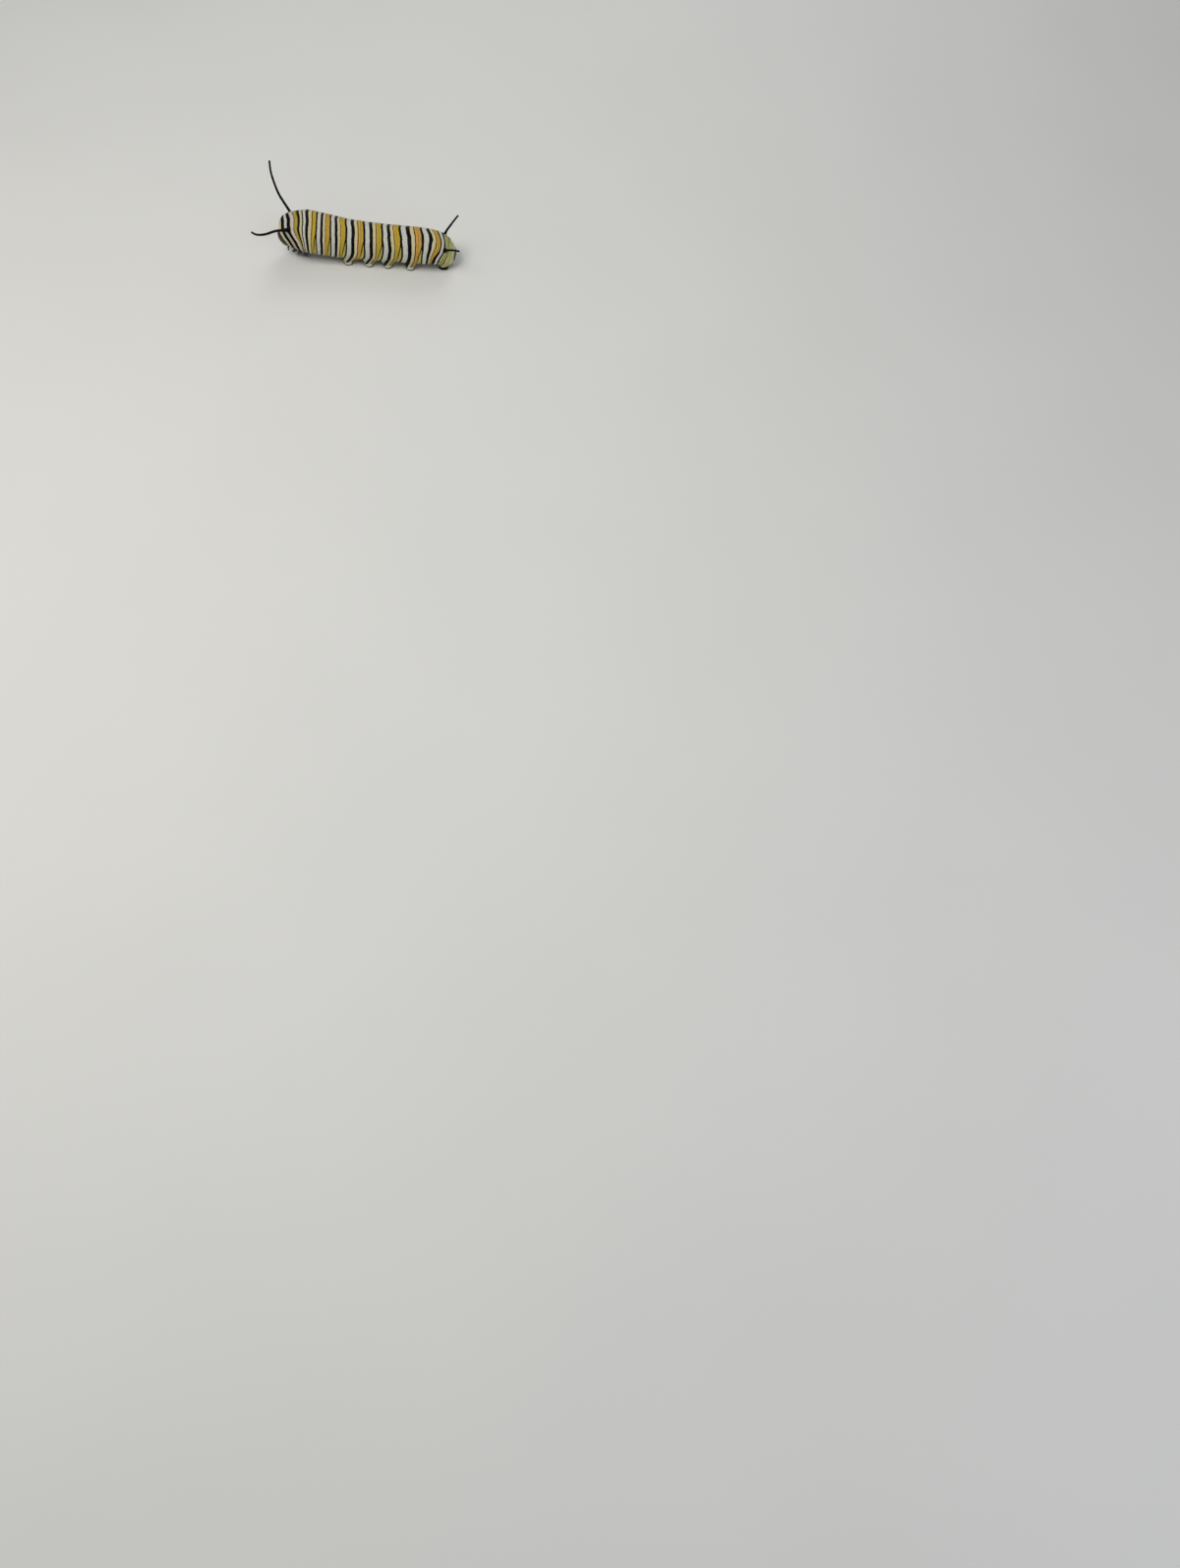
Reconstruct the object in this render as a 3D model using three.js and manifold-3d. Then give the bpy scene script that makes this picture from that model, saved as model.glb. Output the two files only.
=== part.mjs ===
// Monarch larva, fifth instar, life size, resting on its prolegs with its head tucked down.
// Millimetres, +Z up, head towards -X, the larva's left side towards -Y, floor at z = 0.

import * as THREE from "three";
import { mergeVertices } from "three/addons/utils/BufferGeometryUtils.js";
import ManifoldModule from "manifold-3d";

const wasm = await ManifoldModule();
wasm.setup();
const { Manifold, Mesh: SolidMesh } = wasm;

// Driving dimensions

const GAP = 0.3; // clear space where one piece meets the next
const AROUND = 24; // points in one ring of the body
const BELLY_FLATNESS = 0.8; // 1 is a round belly, less is flatter
const FLANK_FOLD = 0.22; // how far the fold above the feet stands out
const ANNULET_SWELL = 0.1; // how far each colour band swells between its two creases
const SEGMENT_CREASE = 0.16; // depth of the crease between two segments

// Creases between the colour bands of one segment, as shares of its length.
const CREASES = [0.06, 0.305, 0.49, 0.667, 0.94];

// Borders between the segments: on the back (x, z), on the belly (x, z), half width and the
// sag of the ring towards the tail at mid side.
const BORDERS = [
  { back: [-13.9, 5.75], belly: [-11.3, 2.75], halfWidth: 2.15, sag: 0 },
  { back: [-13.05, 7.6], belly: [-10.55, 2.1], halfWidth: 3.3, sag: 0 },
  { back: [-8.95, 8.85], belly: [-9.0, 1.55], halfWidth: 3.95, sag: 0.5 },
  { back: [-5.85, 8.62], belly: [-6.9, 1.2], halfWidth: 4.0, sag: 0.6 },
  { back: [-3.07, 8.25], belly: [-4.3, 0.9], halfWidth: 3.85, sag: 0.8 },
  { back: [0.0, 7.75], belly: [-1.4, 0.75], halfWidth: 3.7, sag: 0.9 },
  { back: [3.65, 7.45], belly: [2.5, 0.7], halfWidth: 3.6, sag: 0.9 },
  { back: [7.4, 7.3], belly: [6.6, 0.7], halfWidth: 3.5, sag: 0.9 },
  { back: [11.05, 7.2], belly: [11.2, 0.7], halfWidth: 3.45, sag: 0.8 },
  { back: [15.5, 7.15], belly: [15.1, 0.75], halfWidth: 3.4, sag: 0.8 },
  { back: [19.05, 6.75], belly: [17.3, 0.9], halfWidth: 3.1, sag: 0.7 },
  { back: [21.15, 5.6], belly: [19.2, 1.0], halfWidth: 2.6, sag: 0.45 },
  { back: [22.0, 4.25], belly: [20.95, 1.15], halfWidth: 2.0, sag: 0.2 },
];
// The tail's rounded end: how far along the last border's own axis, and how much smaller.
const TAIL_ROUNDING = [[0.22, 0.92], [0.42, 0.74], [0.56, 0.45]];

const SEGMENTS = [
  "prothorax",
  "mesothorax",
  "metathorax",
  "abdomen_1",
  "abdomen_2",
  "abdomen_3",
  "abdomen_4",
  "abdomen_5",
  "abdomen_6",
  "abdomen_7",
  "abdomen_8",
  "tail",
];
const TAIL = SEGMENTS.length - 1; // the last segment also holds the anal plate

const HEAD = {
  centre: [-12.75, 0, 3.65],
  tuck: 46, // degrees the face turns down from level
  halfWidth: 2.05,
  halfHeight: 2.1,
  halfDepth: 1.75,
};

// Legs of the thorax: where each leaves the body and where its claw stands, left side.
const LEGS = [
  { root: [-10.6, 1.15, 3.0], knee: [-11.1, 1.95, 1.75], claw: [-11.9, 1.25, 0.95] },
  { root: [-9.6, 1.25, 2.6], knee: [-10.1, 2.1, 1.5], claw: [-10.95, 1.3, 0.6] },
  { root: [-8.2, 1.35, 2.4], knee: [-8.85, 2.05, 1.2], claw: [-9.6, 1.15, 0] },
];
const LEG_RADII = { root: 0.58, knee: 0.42, ankle: 0.27, claw: 0.17 };

// Fleshy feet of the abdomen: position of the sole along the body, left and right.
const PROLEGS = [
  { segment: 3, left: 0.1, right: 0.4 },
  { segment: 4, left: 4.5, right: 4.7 },
  { segment: 5, left: 8.45, right: 8.6 },
  { segment: 6, left: 13.2, right: 13.0 },
];
const PROLEG = {
  soleSide: 2.55, // distance of the sole's centre from the middle plane
  rootSide: 1.95,
  rootHeight: 2.3,
  // height above the floor, half length along the body, half width across it
  profile: [
    [0, 0.74, 0.55],
    [0.13, 0.91, 0.7],
    [0.4, 0.94, 0.74],
    [0.7, 0.82, 0.66],
    [1.0, 1.05, 0.85],
    [1.5, 1.4, 1.05],
    [2.3, 1.5, 1.1],
  ],
};
const CLASPER = { sole: [20.0, 1.5], root: [20.4, 1.2], height: 2.3, lengthen: 1.12 };

// Filaments: points along each from its root to its tip. Left is the near one in the photo.
const FILAMENTS = {
  filament_front_left: {
    path: [[-10.9, -2.6, 7.1], [-11.3, -3.1, 7.4], [-12.8, -5.2, 8.6], [-14.1, -7.6, 9.6],
      [-14.95, -9.6, 11.0], [-15.2, -11.0, 12.6]],
    root: 0.35,
    tip: 0.22,
  },
  filament_front_right: {
    path: [[-11.7, 2.4, 6.1], [-12.2, 3.0, 7.0], [-13.1, 3.6, 8.25], [-14.1, 4.3, 9.7],
      [-14.7, 4.8, 11.9], [-14.9, 5.0, 14.2], [-14.6, 5.0, 16.75]],
    root: 0.35,
    tip: 0.22,
  },
  filament_rear_left: {
    path: [[20.0, -1.6, 5.0], [20.6, -2.0, 5.5], [22.5, -3.1, 6.2], [24.5, -4.2, 6.7]],
    root: 0.29,
    tip: 0.2,
  },
  filament_rear_right: {
    path: [[20.1, 1.4, 5.2], [20.4, 1.8, 5.9], [21.7, 2.4, 7.6], [23.3, 2.7, 9.6]],
    root: 0.29,
    tip: 0.2,
  },
};

const ANTENNA = { forward: 1.15, side: 1.05, down: 1.0, length: 1.1, root: 0.24, tip: 0.13 };
const STEMMA_RADIUS = 0.13;
// Small eyes on one side of the head: degrees round from the face, degrees below the middle.
const STEMMATA = [[52, 4], [44, 12], [40, 22], [43, 33], [52, 40], [60, 22]];

// Solids

function closedMesh(points, faces) {
  let volume = 0;
  for (const [a, b, c] of faces) {
    volume += points[a].dot(new THREE.Vector3().crossVectors(points[b], points[c]));
  }
  const turned = volume < 0 ? faces.map(([a, b, c]) => [a, c, b]) : faces;
  const solid = new Manifold(
    new SolidMesh({
      numProp: 3,
      vertProperties: new Float32Array(points.flatMap((p) => p.toArray())),
      triVerts: new Uint32Array(turned.flat()),
    }),
  );
  return solid;
}

function loft(rings) {
  const around = rings[0].length;
  const points = rings.flat();
  const faces = [];
  for (let i = 0; i + 1 < rings.length; i++) {
    for (let j = 0; j < around; j++) {
      const a = i * around + j;
      const b = i * around + ((j + 1) % around);
      faces.push([a, a + around, b], [b, a + around, b + around]);
    }
  }
  const ends = [rings[0], rings[rings.length - 1]];
  ends.forEach((ring, end) => {
    const centre = ring
      .reduce((sum, p) => sum.add(p), new THREE.Vector3())
      .divideScalar(around);
    const c = points.push(centre) - 1;
    const start = end ? points.length - 1 - around - 1 : 0;
    for (let j = 0; j < around; j++) {
      const a = start + j;
      const b = start + ((j + 1) % around);
      faces.push(end ? [a, c, b] : [a, b, c]);
    }
  });
  return closedMesh(points, faces);
}

function solidOf(geometry) {
  const bare = geometry.clone();
  bare.deleteAttribute("normal");
  bare.deleteAttribute("uv");
  const merged = mergeVertices(bare, 1e-4);
  const at = merged.getAttribute("position");
  const points = [];
  for (let i = 0; i < at.count; i++) {
    points.push(new THREE.Vector3().fromBufferAttribute(at, i));
  }
  const faces = [];
  for (let i = 0; i < merged.index.count; i += 3) {
    faces.push([0, 1, 2].map((k) => merged.index.getX(i + k)));
  }
  return closedMesh(points, faces);
}

function largest(solid) {
  const pieces = solid.decompose();
  return pieces.reduce((best, piece) => (piece.volume() > best.volume() ? piece : best));
}

function geometryOf(solid) {
  const mesh = solid.getMesh();
  const geometry = new THREE.BufferGeometry();
  geometry.setAttribute("position", new THREE.BufferAttribute(mesh.vertProperties, 3));
  geometry.setIndex(new THREE.BufferAttribute(mesh.triVerts, 1));
  const flat = geometry.toNonIndexed();
  flat.computeVertexNormals();
  return flat;
}

// Body

function along(values, t) {
  const last = values.length - 1;
  const i = Math.min(Math.floor(t), last - 1);
  const u = t - i;
  const p1 = values[i];
  const p2 = values[i + 1];
  const p0 = i > 0 ? values[i - 1] : 2 * p1 - p2;
  const p3 = i + 2 <= last ? values[i + 2] : 2 * p2 - p1;
  const m1 = (p2 - p0) / 2;
  const m2 = (p3 - p1) / 2;
  const a = 2 * p1 - 2 * p2 + m1 + m2;
  const b = 3 * (p2 - p1) - 2 * m1 - m2;
  return ((a * u + b) * u + m1) * u + p1;
}

function frameAt(t) {
  const read = (get) => along(BORDERS.map(get), t);
  const back = new THREE.Vector3(read((b) => b.back[0]), 0, read((b) => b.back[1]));
  const belly = new THREE.Vector3(read((b) => b.belly[0]), 0, read((b) => b.belly[1]));
  const up = back.clone().sub(belly);
  const halfHeight = up.length() / 2;
  up.normalize();
  return {
    centre: back.add(belly).multiplyScalar(0.5),
    up,
    tailward: new THREE.Vector3(up.z, 0, -up.x),
    halfHeight,
    halfWidth: read((b) => b.halfWidth),
    sag: read((b) => b.sag),
  };
}

// Height of the annulet relief at a place along the body.
function reliefAt(t) {
  const segment = Math.floor(t);
  const u = t - segment;
  const stops = [CREASES[4] - 1, ...CREASES, CREASES[0] + 1];
  const i = stops.findIndex((stop, k) => k + 1 < stops.length && u < stops[k + 1]);
  const v = (u - stops[i]) / (stops[i + 1] - stops[i]);
  const swell = ANNULET_SWELL * Math.pow(Math.sin(Math.PI * v), 0.6);
  const near = Math.min(u, 1 - u) / 0.1;
  return swell - SEGMENT_CREASE * Math.exp(-near * near);
}

// One ring of the skin: the frame's own outline, grown outwards, then shrunk to a share of it.
function ringOf(f, grow, share = 1, around = AROUND) {
  const points = [];
  for (let j = 0; j < around; j++) {
    const angle = (2 * Math.PI * j) / around;
    const c = Math.cos(angle);
    const s = Math.sin(angle);
    const low = c < 0;
    const rise = low ? -Math.pow(-c, BELLY_FLATNESS) : c;
    const offside = (Math.abs(s) - 0.9) / 0.14;
    const fold = low ? FLANK_FOLD * Math.exp(-offside * offside) : 0;
    const high = share * (f.halfHeight + grow);
    const wide = share * (f.halfWidth + grow + fold);
    points.push(
      f.centre
        .clone()
        .addScaledVector(f.up, high * rise)
        .addScaledVector(f.tailward, share * f.sag * s * s)
        .add(new THREE.Vector3(0, -wide * s, 0)),
    );
  }
  return points;
}

function ring(t, grow) {
  return ringOf(frameAt(t), grow);
}

// Rings that close the tail behind its last border.
function tailEnd(grow) {
  const f = frameAt(SEGMENTS.length);
  return TAIL_ROUNDING.map(([out, share]) => {
    const centre = f.centre.clone().addScaledVector(f.tailward, out * (f.halfHeight + grow));
    return ringOf({ ...f, centre }, grow, share);
  });
}

function segmentLength(i) {
  return frameAt(i).centre.distanceTo(frameAt(i + 1).centre);
}

function segmentSolid(i) {
  const margin = GAP / 2 / segmentLength(i);
  const first = i === 0 ? 0 : margin;
  const end = i === TAIL ? 1 : 1 - margin;
  const stops = [first];
  CREASES.forEach((crease, k) => {
    if (crease > first + 0.02 && crease < end - 0.02) {
      stops.push(crease);
    }
    const next = CREASES[k + 1];
    if (next) {
      stops.push((crease + next) / 2);
    }
  });
  stops.push(end);
  const rings = stops.map((u) => ring(i + u, reliefAt(Math.min(i + u, i + 0.999))));
  return loft(i === TAIL ? [...rings, ...tailEnd(reliefAt(i + 0.999))] : rings);
}

function grownBody() {
  const rings = [];
  for (let t = 0; t <= SEGMENTS.length; t += 0.5) {
    rings.push(ring(t, GAP));
  }
  return loft([...rings, ...tailEnd(GAP)]);
}

// Limbs

function smoothRing(centre, toward, radiusA, radiusB, acrossHint, around) {
  const dir = toward.clone().normalize();
  const a = new THREE.Vector3().crossVectors(acrossHint, dir).normalize();
  const b = new THREE.Vector3().crossVectors(dir, a);
  const points = [];
  for (let j = 0; j < around; j++) {
    const angle = (2 * Math.PI * j) / around;
    points.push(
      centre
        .clone()
        .addScaledVector(a, radiusA * Math.cos(angle))
        .addScaledVector(b, radiusB * Math.sin(angle)),
    );
  }
  return points;
}

function tube(curve, radiusAt, stops, around) {
  const across = new THREE.Vector3(0, 1, 0.3);
  const rings = stops.map((u) => {
    const r = radiusAt(u);
    return smoothRing(curve.getPointAt(u), curve.getTangentAt(u), r, r, across, around);
  });
  return loft(rings);
}

function filamentSolid({ path, root, tip }) {
  const curve = new THREE.CatmullRomCurve3(path.map((p) => new THREE.Vector3(...p)));
  const length = curve.getLength();
  const radiusAt = (u) => {
    const left = (1 - u) * length;
    const round = left < tip ? Math.sqrt(Math.max(0.04, 1 - (1 - left / tip) ** 2)) : 1;
    return THREE.MathUtils.lerp(root, tip, Math.pow(u, 0.8)) * round;
  };
  const shaft = [0, 0.08, 0.18, 0.3, 0.42, 0.54, 0.66, 0.78, 0.9];
  const end = [1 - (0.8 * tip) / length, 1 - (0.3 * tip) / length, 1];
  return tube(curve, radiusAt, [...shaft, ...end], 10);
}

function legSolid({ root, knee, claw }, side) {
  const at = ([x, y, z]) => new THREE.Vector3(x, side * y, z);
  const hip = at(root);
  const bend = at(knee);
  const foot = at(claw);
  const ankle = bend.clone().lerp(foot, 0.55).add(new THREE.Vector3(-0.08, 0, 0.02));
  const stations = [
    [hip, LEG_RADII.root],
    [hip.clone().lerp(bend, 0.62), LEG_RADII.root * 0.93],
    [hip.clone().lerp(bend, 0.7), LEG_RADII.knee * 0.95],
    [bend, LEG_RADII.knee],
    [bend.clone().lerp(ankle, 0.8), LEG_RADII.ankle * 1.15],
    [ankle, LEG_RADII.ankle * 0.85],
    [ankle.clone().lerp(foot, 0.4), LEG_RADII.ankle],
    [foot, LEG_RADII.claw],
  ];
  const rings = stations.map(([centre, r], i) => {
    const before = stations[Math.max(0, i - 1)][0];
    const after = stations[Math.min(stations.length - 1, i + 1)][0];
    const toward = i === stations.length - 1 ? new THREE.Vector3(0, 0, -1) : after.clone().sub(before);
    return smoothRing(centre, toward, r, r, new THREE.Vector3(1, 0, 0.2), 10);
  });
  return loft(rings);
}

function footSolid(sole, root, lengthen, rootHeight) {
  const rings = PROLEG.profile.map(([height, halfLength, halfWidth]) => {
    const u = height / rootHeight;
    const centre = new THREE.Vector3(
      THREE.MathUtils.lerp(sole[0], root[0], u),
      THREE.MathUtils.lerp(sole[1], root[1], u),
      height,
    );
    const points = [];
    for (let j = 0; j < 14; j++) {
      const angle = (2 * Math.PI * j) / 14;
      const a = halfLength * lengthen * Math.cos(angle);
      const b = halfWidth * Math.sin(angle);
      points.push(centre.clone().add(new THREE.Vector3(a, b, 0)));
    }
    return points;
  });
  return loft(rings);
}

// Head

const tuck = THREE.MathUtils.degToRad(HEAD.tuck);
const headFrame = new THREE.Matrix4().makeBasis(
  new THREE.Vector3(-Math.cos(tuck), 0, -Math.sin(tuck)), // local x: out of the face
  new THREE.Vector3(0, -1, 0), // local y: the larva's left
  new THREE.Vector3(-Math.sin(tuck), 0, Math.cos(tuck)), // local z: the crown
);
headFrame.setPosition(...HEAD.centre);

// Distance factor of the capsule's surface in a direction from its centre.
function capsuleShape(direction) {
  const { x, y, z } = direction;
  const seam = 0.1 * Math.exp(-((y / 0.16) ** 2)) * THREE.MathUtils.smoothstep(z, -0.1, 0.9);
  const front = THREE.MathUtils.smoothstep(x, 0.2, 0.95);
  const wedge = Math.max(0, 0.15 - z) * 0.55;
  const frons = 0.06 * front * THREE.MathUtils.smoothstep(wedge - Math.abs(y), -0.12, 0.12);
  const chin = 0.1 * THREE.MathUtils.smoothstep(-z, 0.55, 1);
  return 1 - seam - frons - chin;
}

function onCapsule(direction) {
  const d = direction.clone().normalize();
  const k = capsuleShape(d);
  return new THREE.Vector3(
    d.x * HEAD.halfDepth * k,
    d.y * HEAD.halfWidth * k,
    d.z * HEAD.halfHeight * k,
  );
}

function ball(centre, scale, segments = 8, rows = 6) {
  const sphere = new THREE.SphereGeometry(1, segments, rows);
  sphere.scale(...scale);
  sphere.translate(...centre.toArray());
  return solidOf(sphere);
}

function headSolid() {
  const sphere = new THREE.SphereGeometry(1, 28, 18);
  sphere.rotateX(Math.PI / 2);
  const at = sphere.getAttribute("position");
  for (let i = 0; i < at.count; i++) {
    const p = onCapsule(new THREE.Vector3().fromBufferAttribute(at, i));
    at.setXYZ(i, ...p.toArray());
  }
  let solid = solidOf(sphere);
  for (const side of [-1, 1]) {
    for (const [round, below] of STEMMATA) {
      const a = THREE.MathUtils.degToRad(round);
      const b = THREE.MathUtils.degToRad(-below);
      const direction = new THREE.Vector3(
        Math.cos(a) * Math.cos(b),
        side * Math.sin(a) * Math.cos(b),
        Math.sin(b),
      );
      const r = STEMMA_RADIUS;
      solid = solid.add(ball(onCapsule(direction), [r, r, r], 6, 4));
    }
    const jaw = new THREE.Vector3(HEAD.halfDepth * 0.62, side * 0.42, -HEAD.halfHeight * 0.9);
    solid = solid.add(ball(jaw, [0.5, 0.42, 0.5]));
  }
  const lip = new THREE.Vector3(HEAD.halfDepth * 0.84, 0, -HEAD.halfHeight * 0.7);
  solid = solid.add(ball(lip, [0.34, 0.62, 0.36]));
  return solid.transform(headFrame.elements);
}

function antennaSolid(side) {
  const root = new THREE.Vector3(ANTENNA.forward * 0.7, side * ANTENNA.side, -ANTENNA.down);
  const tip = new THREE.Vector3(
    ANTENNA.forward + ANTENNA.length * 0.75,
    side * (ANTENNA.side + 0.25),
    -ANTENNA.down - ANTENNA.length * 0.75,
  );
  const curve = new THREE.LineCurve3(root, tip);
  const radiusAt = (u) => {
    const joint = u < 0.55 ? 0 : u < 0.85 ? 0.35 : 0.8;
    return THREE.MathUtils.lerp(ANTENNA.root, ANTENNA.tip, joint);
  };
  const stops = [0, 0.5, 0.56, 0.8, 0.86, 1];
  return tube(curve, radiusAt, stops, 8).transform(headFrame.elements);
}

// Assembly

const COLOURS = {
  skin: { color: 0xd9d8c4, roughness: 0.5 },
  black_skin: { color: 0x17151a, roughness: 0.45 },
  black_horn: { color: 0x141216, roughness: 0.3 },
  head_shell: { color: 0x2a2620, roughness: 0.3 },
};

const larva = new THREE.Group();
larva.name = "monarch_larva";

function addPiece(name, solid, look) {
  const piece = new THREE.Mesh(
    geometryOf(largest(solid)),
    new THREE.MeshStandardMaterial({ ...COLOURS[look], metalness: 0 }),
  );
  piece.name = name;
  larva.add(piece);
}

const body = grownBody();

SEGMENTS.forEach((name, i) => {
  addPiece(name, segmentSolid(i), "skin");
});

const head = headSolid().subtract(body);
addPiece("head", head, "head_shell");

const SIDES = { left: -1, right: 1 };
for (const [word, side] of Object.entries(SIDES)) {
  LEGS.forEach((leg, i) => {
    addPiece(`leg_${i + 1}_${word}`, legSolid(leg, side).subtract(body), "black_horn");
  });
  PROLEGS.forEach((foot) => {
    const x = foot[word];
    const sole = [x, side * PROLEG.soleSide];
    const root = [x + 0.15, side * PROLEG.rootSide];
    const solid = footSolid(sole, root, 1, PROLEG.rootHeight);
    addPiece(`proleg_${foot.segment}_${word}`, solid.subtract(body), "skin");
  });
  const sole = [CLASPER.sole[0], side * CLASPER.sole[1]];
  const root = [CLASPER.root[0], side * CLASPER.root[1]];
  const solid = footSolid(sole, root, CLASPER.lengthen, CLASPER.height);
  addPiece(`clasper_${word}`, solid.subtract(body), "skin");
}

for (const [name, filament] of Object.entries(FILAMENTS)) {
  addPiece(name, filamentSolid(filament).subtract(body), "black_skin");
}

const headSkin = headSolid();
for (const [word, side] of Object.entries(SIDES)) {
  addPiece(`antenna_${word}`, antennaSolid(-side).subtract(headSkin), "black_horn");
}

// The part's own frame: origin under the middle of its bounding box, on the floor.
const box = new THREE.Box3().setFromObject(larva);
const middle = box.getCenter(new THREE.Vector3());
larva.position.set(-middle.x, -middle.y, -box.min.z);

export default larva;
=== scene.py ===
"""Looks of the monarch larva: its banded skin, horn and shell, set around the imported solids.

Pieces are modelled in millimetres in the larva's own coordinates: head towards -X, its left
side towards -Y, floor at z = 0. place() then moves each one to the frame, in metres.
"""

import math

import bpy
import numpy as np
from mathutils import Matrix, Vector


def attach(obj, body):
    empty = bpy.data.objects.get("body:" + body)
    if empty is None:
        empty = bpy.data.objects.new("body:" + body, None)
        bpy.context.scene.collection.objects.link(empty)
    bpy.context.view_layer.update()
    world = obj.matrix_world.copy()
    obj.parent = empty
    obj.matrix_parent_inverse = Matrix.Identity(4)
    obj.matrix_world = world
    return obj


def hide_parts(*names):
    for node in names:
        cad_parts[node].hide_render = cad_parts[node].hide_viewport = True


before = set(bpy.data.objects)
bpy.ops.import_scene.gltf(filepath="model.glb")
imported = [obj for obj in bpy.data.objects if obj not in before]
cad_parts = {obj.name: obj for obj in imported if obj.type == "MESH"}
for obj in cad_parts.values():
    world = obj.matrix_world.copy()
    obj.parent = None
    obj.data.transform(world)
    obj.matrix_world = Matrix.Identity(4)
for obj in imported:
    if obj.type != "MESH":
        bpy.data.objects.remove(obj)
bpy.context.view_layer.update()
bpy.ops.object.select_all(action="DESELECT")

MM = 0.001
MIDDLE = Vector((4.562, -2.919, 0))  # middle of the solids' box, in the larva's coordinates

# Camera of the photo, in the larva's coordinates (mm)
CAMERA_AT = Vector((75.458, -203.205, 170.0))
CAMERA_LOOK = Vector((-0.0554, 0.4506, -0.8910))
CAMERA_UP = Vector((-0.1087, 0.8843, 0.4540))
FRAME_LONG_SIDE = 1594  # pixels
FOCAL_PIXELS = 1200
SENSOR = 36  # mm


# Body: borders between the segments, as in the solids

BORDERS = [
    # back x, back z, belly x, belly z, half width, sag
    (-13.9, 5.75, -11.3, 2.75, 2.15, 0.0),
    (-13.05, 7.6, -10.55, 2.1, 3.3, 0.0),
    (-8.95, 8.85, -9.0, 1.55, 3.95, 0.5),
    (-5.85, 8.62, -6.9, 1.2, 4.0, 0.6),
    (-3.07, 8.25, -4.3, 0.9, 3.85, 0.8),
    (0.0, 7.75, -1.4, 0.75, 3.7, 0.9),
    (3.65, 7.45, 2.5, 0.7, 3.6, 0.9),
    (7.4, 7.3, 6.6, 0.7, 3.5, 0.9),
    (11.05, 7.2, 11.2, 0.7, 3.45, 0.8),
    (15.5, 7.15, 15.1, 0.75, 3.4, 0.8),
    (19.05, 6.75, 17.3, 0.9, 3.1, 0.7),
    (21.15, 5.6, 19.2, 1.0, 2.6, 0.45),
    (22.0, 4.25, 20.95, 1.15, 2.0, 0.2),
]
TAIL_END = len(BORDERS) - 1
BELLY_FLATNESS = 0.8  # power below 1 flattens the belly
FLANK_FOLD = 0.22  # how far the fold under the breathing holes stands out, mm

# Bands of each kind of segment, front to back: the share of the segment where a band starts, the
# depth in mm of the crease in front of it, and its pigment. REAR gives the colour of "rear".
PLAIN = [
    (0.0, 0.16, "black"), (0.06, 0.1, "white"), (0.18, 0.035, "white"), (0.285, 0.12, "black"),
    (0.385, 0.04, "black"), (0.47, 0.11, "cream"), (0.635, 0.07, "brown"), (0.68, 0.08, "rear"),
    (0.81, 0.05, "rear"), (0.94, 0.1, "black"),
]
FIRST = [
    (0.0, 0.12, "black"), (0.16, 0.04, "black"), (0.3, 0.1, "cream"), (0.54, 0.03, "cream"),
    (0.8, 0.1, "black"),
]
SECOND = [
    (0.0, 0.16, "black"), (0.03, 0.1, "white"), (0.17, 0.12, "black"), (0.335, 0.11, "rose"),
    (0.5, 0.07, "black"), (0.53, 0.06, "olive"), (0.69, 0.08, "brown"), (0.835, 0.06, "cream"),
    (0.965, 0.1, "black"),
]
THIRD = [
    (0.0, 0.16, "black"), (0.05, 0.1, "white"), (0.21, 0.12, "black"), (0.42, 0.11, "cream"),
    (0.64, 0.07, "ochre"), (0.72, 0.06, "yellow"), (0.94, 0.1, "black"),
]
EIGHTH = [
    (0.0, 0.16, "black"), (0.06, 0.1, "white"), (0.31, 0.12, "black"), (0.48, 0.11, "pale"),
    (0.68, 0.08, "black"), (0.74, 0.06, "lime"),
]
LAST = [
    (0.0, 0.04, "lime"), (0.06, 0.09, "black"), (0.19, 0.08, "pale"), (0.5, 0.06, "pale"),
    (0.8, 0.05, "lime"),
]
KINDS = [FIRST, SECOND, THIRD] + [PLAIN] * 7 + [EIGHTH, LAST]
BORDER_CREASE = (1.0, 0.16, "black")
SWELL = 0.11  # how far a band bulges between its creases, mm
FULL_BAND = 0.16  # share of a segment from which a band bulges fully
# How strongly the bands slant at each border
SLANT = [1.0, 1.2, 1.3, 1.15, 1.1, 1.05, 1.0, 0.95, 0.95, 1.0, 1.9, 1.9, 1.5]
LOW_FROM = 0.28  # way round from back to belly where the bands start to lean forwards
LOW_OVER = 0.42  # way round over which that lean grows to its full size
LEANING = (2, 9)  # first and last segment whose bands lean so
WEDGED = (2, 8)  # first and last segment with a flank wedge
NO_WEDGE = -0.05  # value of the wedge field away from every wedge


def hex_colour(code):
    """sRGB hex to the linear values that shaders take."""
    parts = [int(code[i:i + 2], 16) / 255 for i in (1, 3, 5)]
    linear = [c / 12.92 if c <= 0.04045 else ((c + 0.055) / 1.055) ** 2.4 for c in parts]
    return (*linear, 1.0)


def smoothstep(value, low, high):
    """0 at low, 1 at high, smooth between; low may lie above high."""
    x = np.clip((np.asarray(value, float) - low) / (high - low), 0, 1)
    return x * x * (3 - 2 * x)


def along(values, t):
    """Smooth curve through the border values; t counts segments from the front."""
    values = np.asarray(values, float)
    last = len(values) - 1
    i = np.clip(np.floor(t).astype(int), 0, last - 1)
    u = t - i
    padded = np.concatenate([[2 * values[0] - values[1]], values, [2 * values[-1] - values[-2]]])
    p0, p1, p2, p3 = (padded[i + k] for k in range(4))
    m1 = (p2 - p0) / 2
    m2 = (p3 - p1) / 2
    return ((2 * p1 - 2 * p2 + m1 + m2) * u + 3 * (p2 - p1) - 2 * m1 - m2) * u * u + m1 * u + p1


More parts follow.
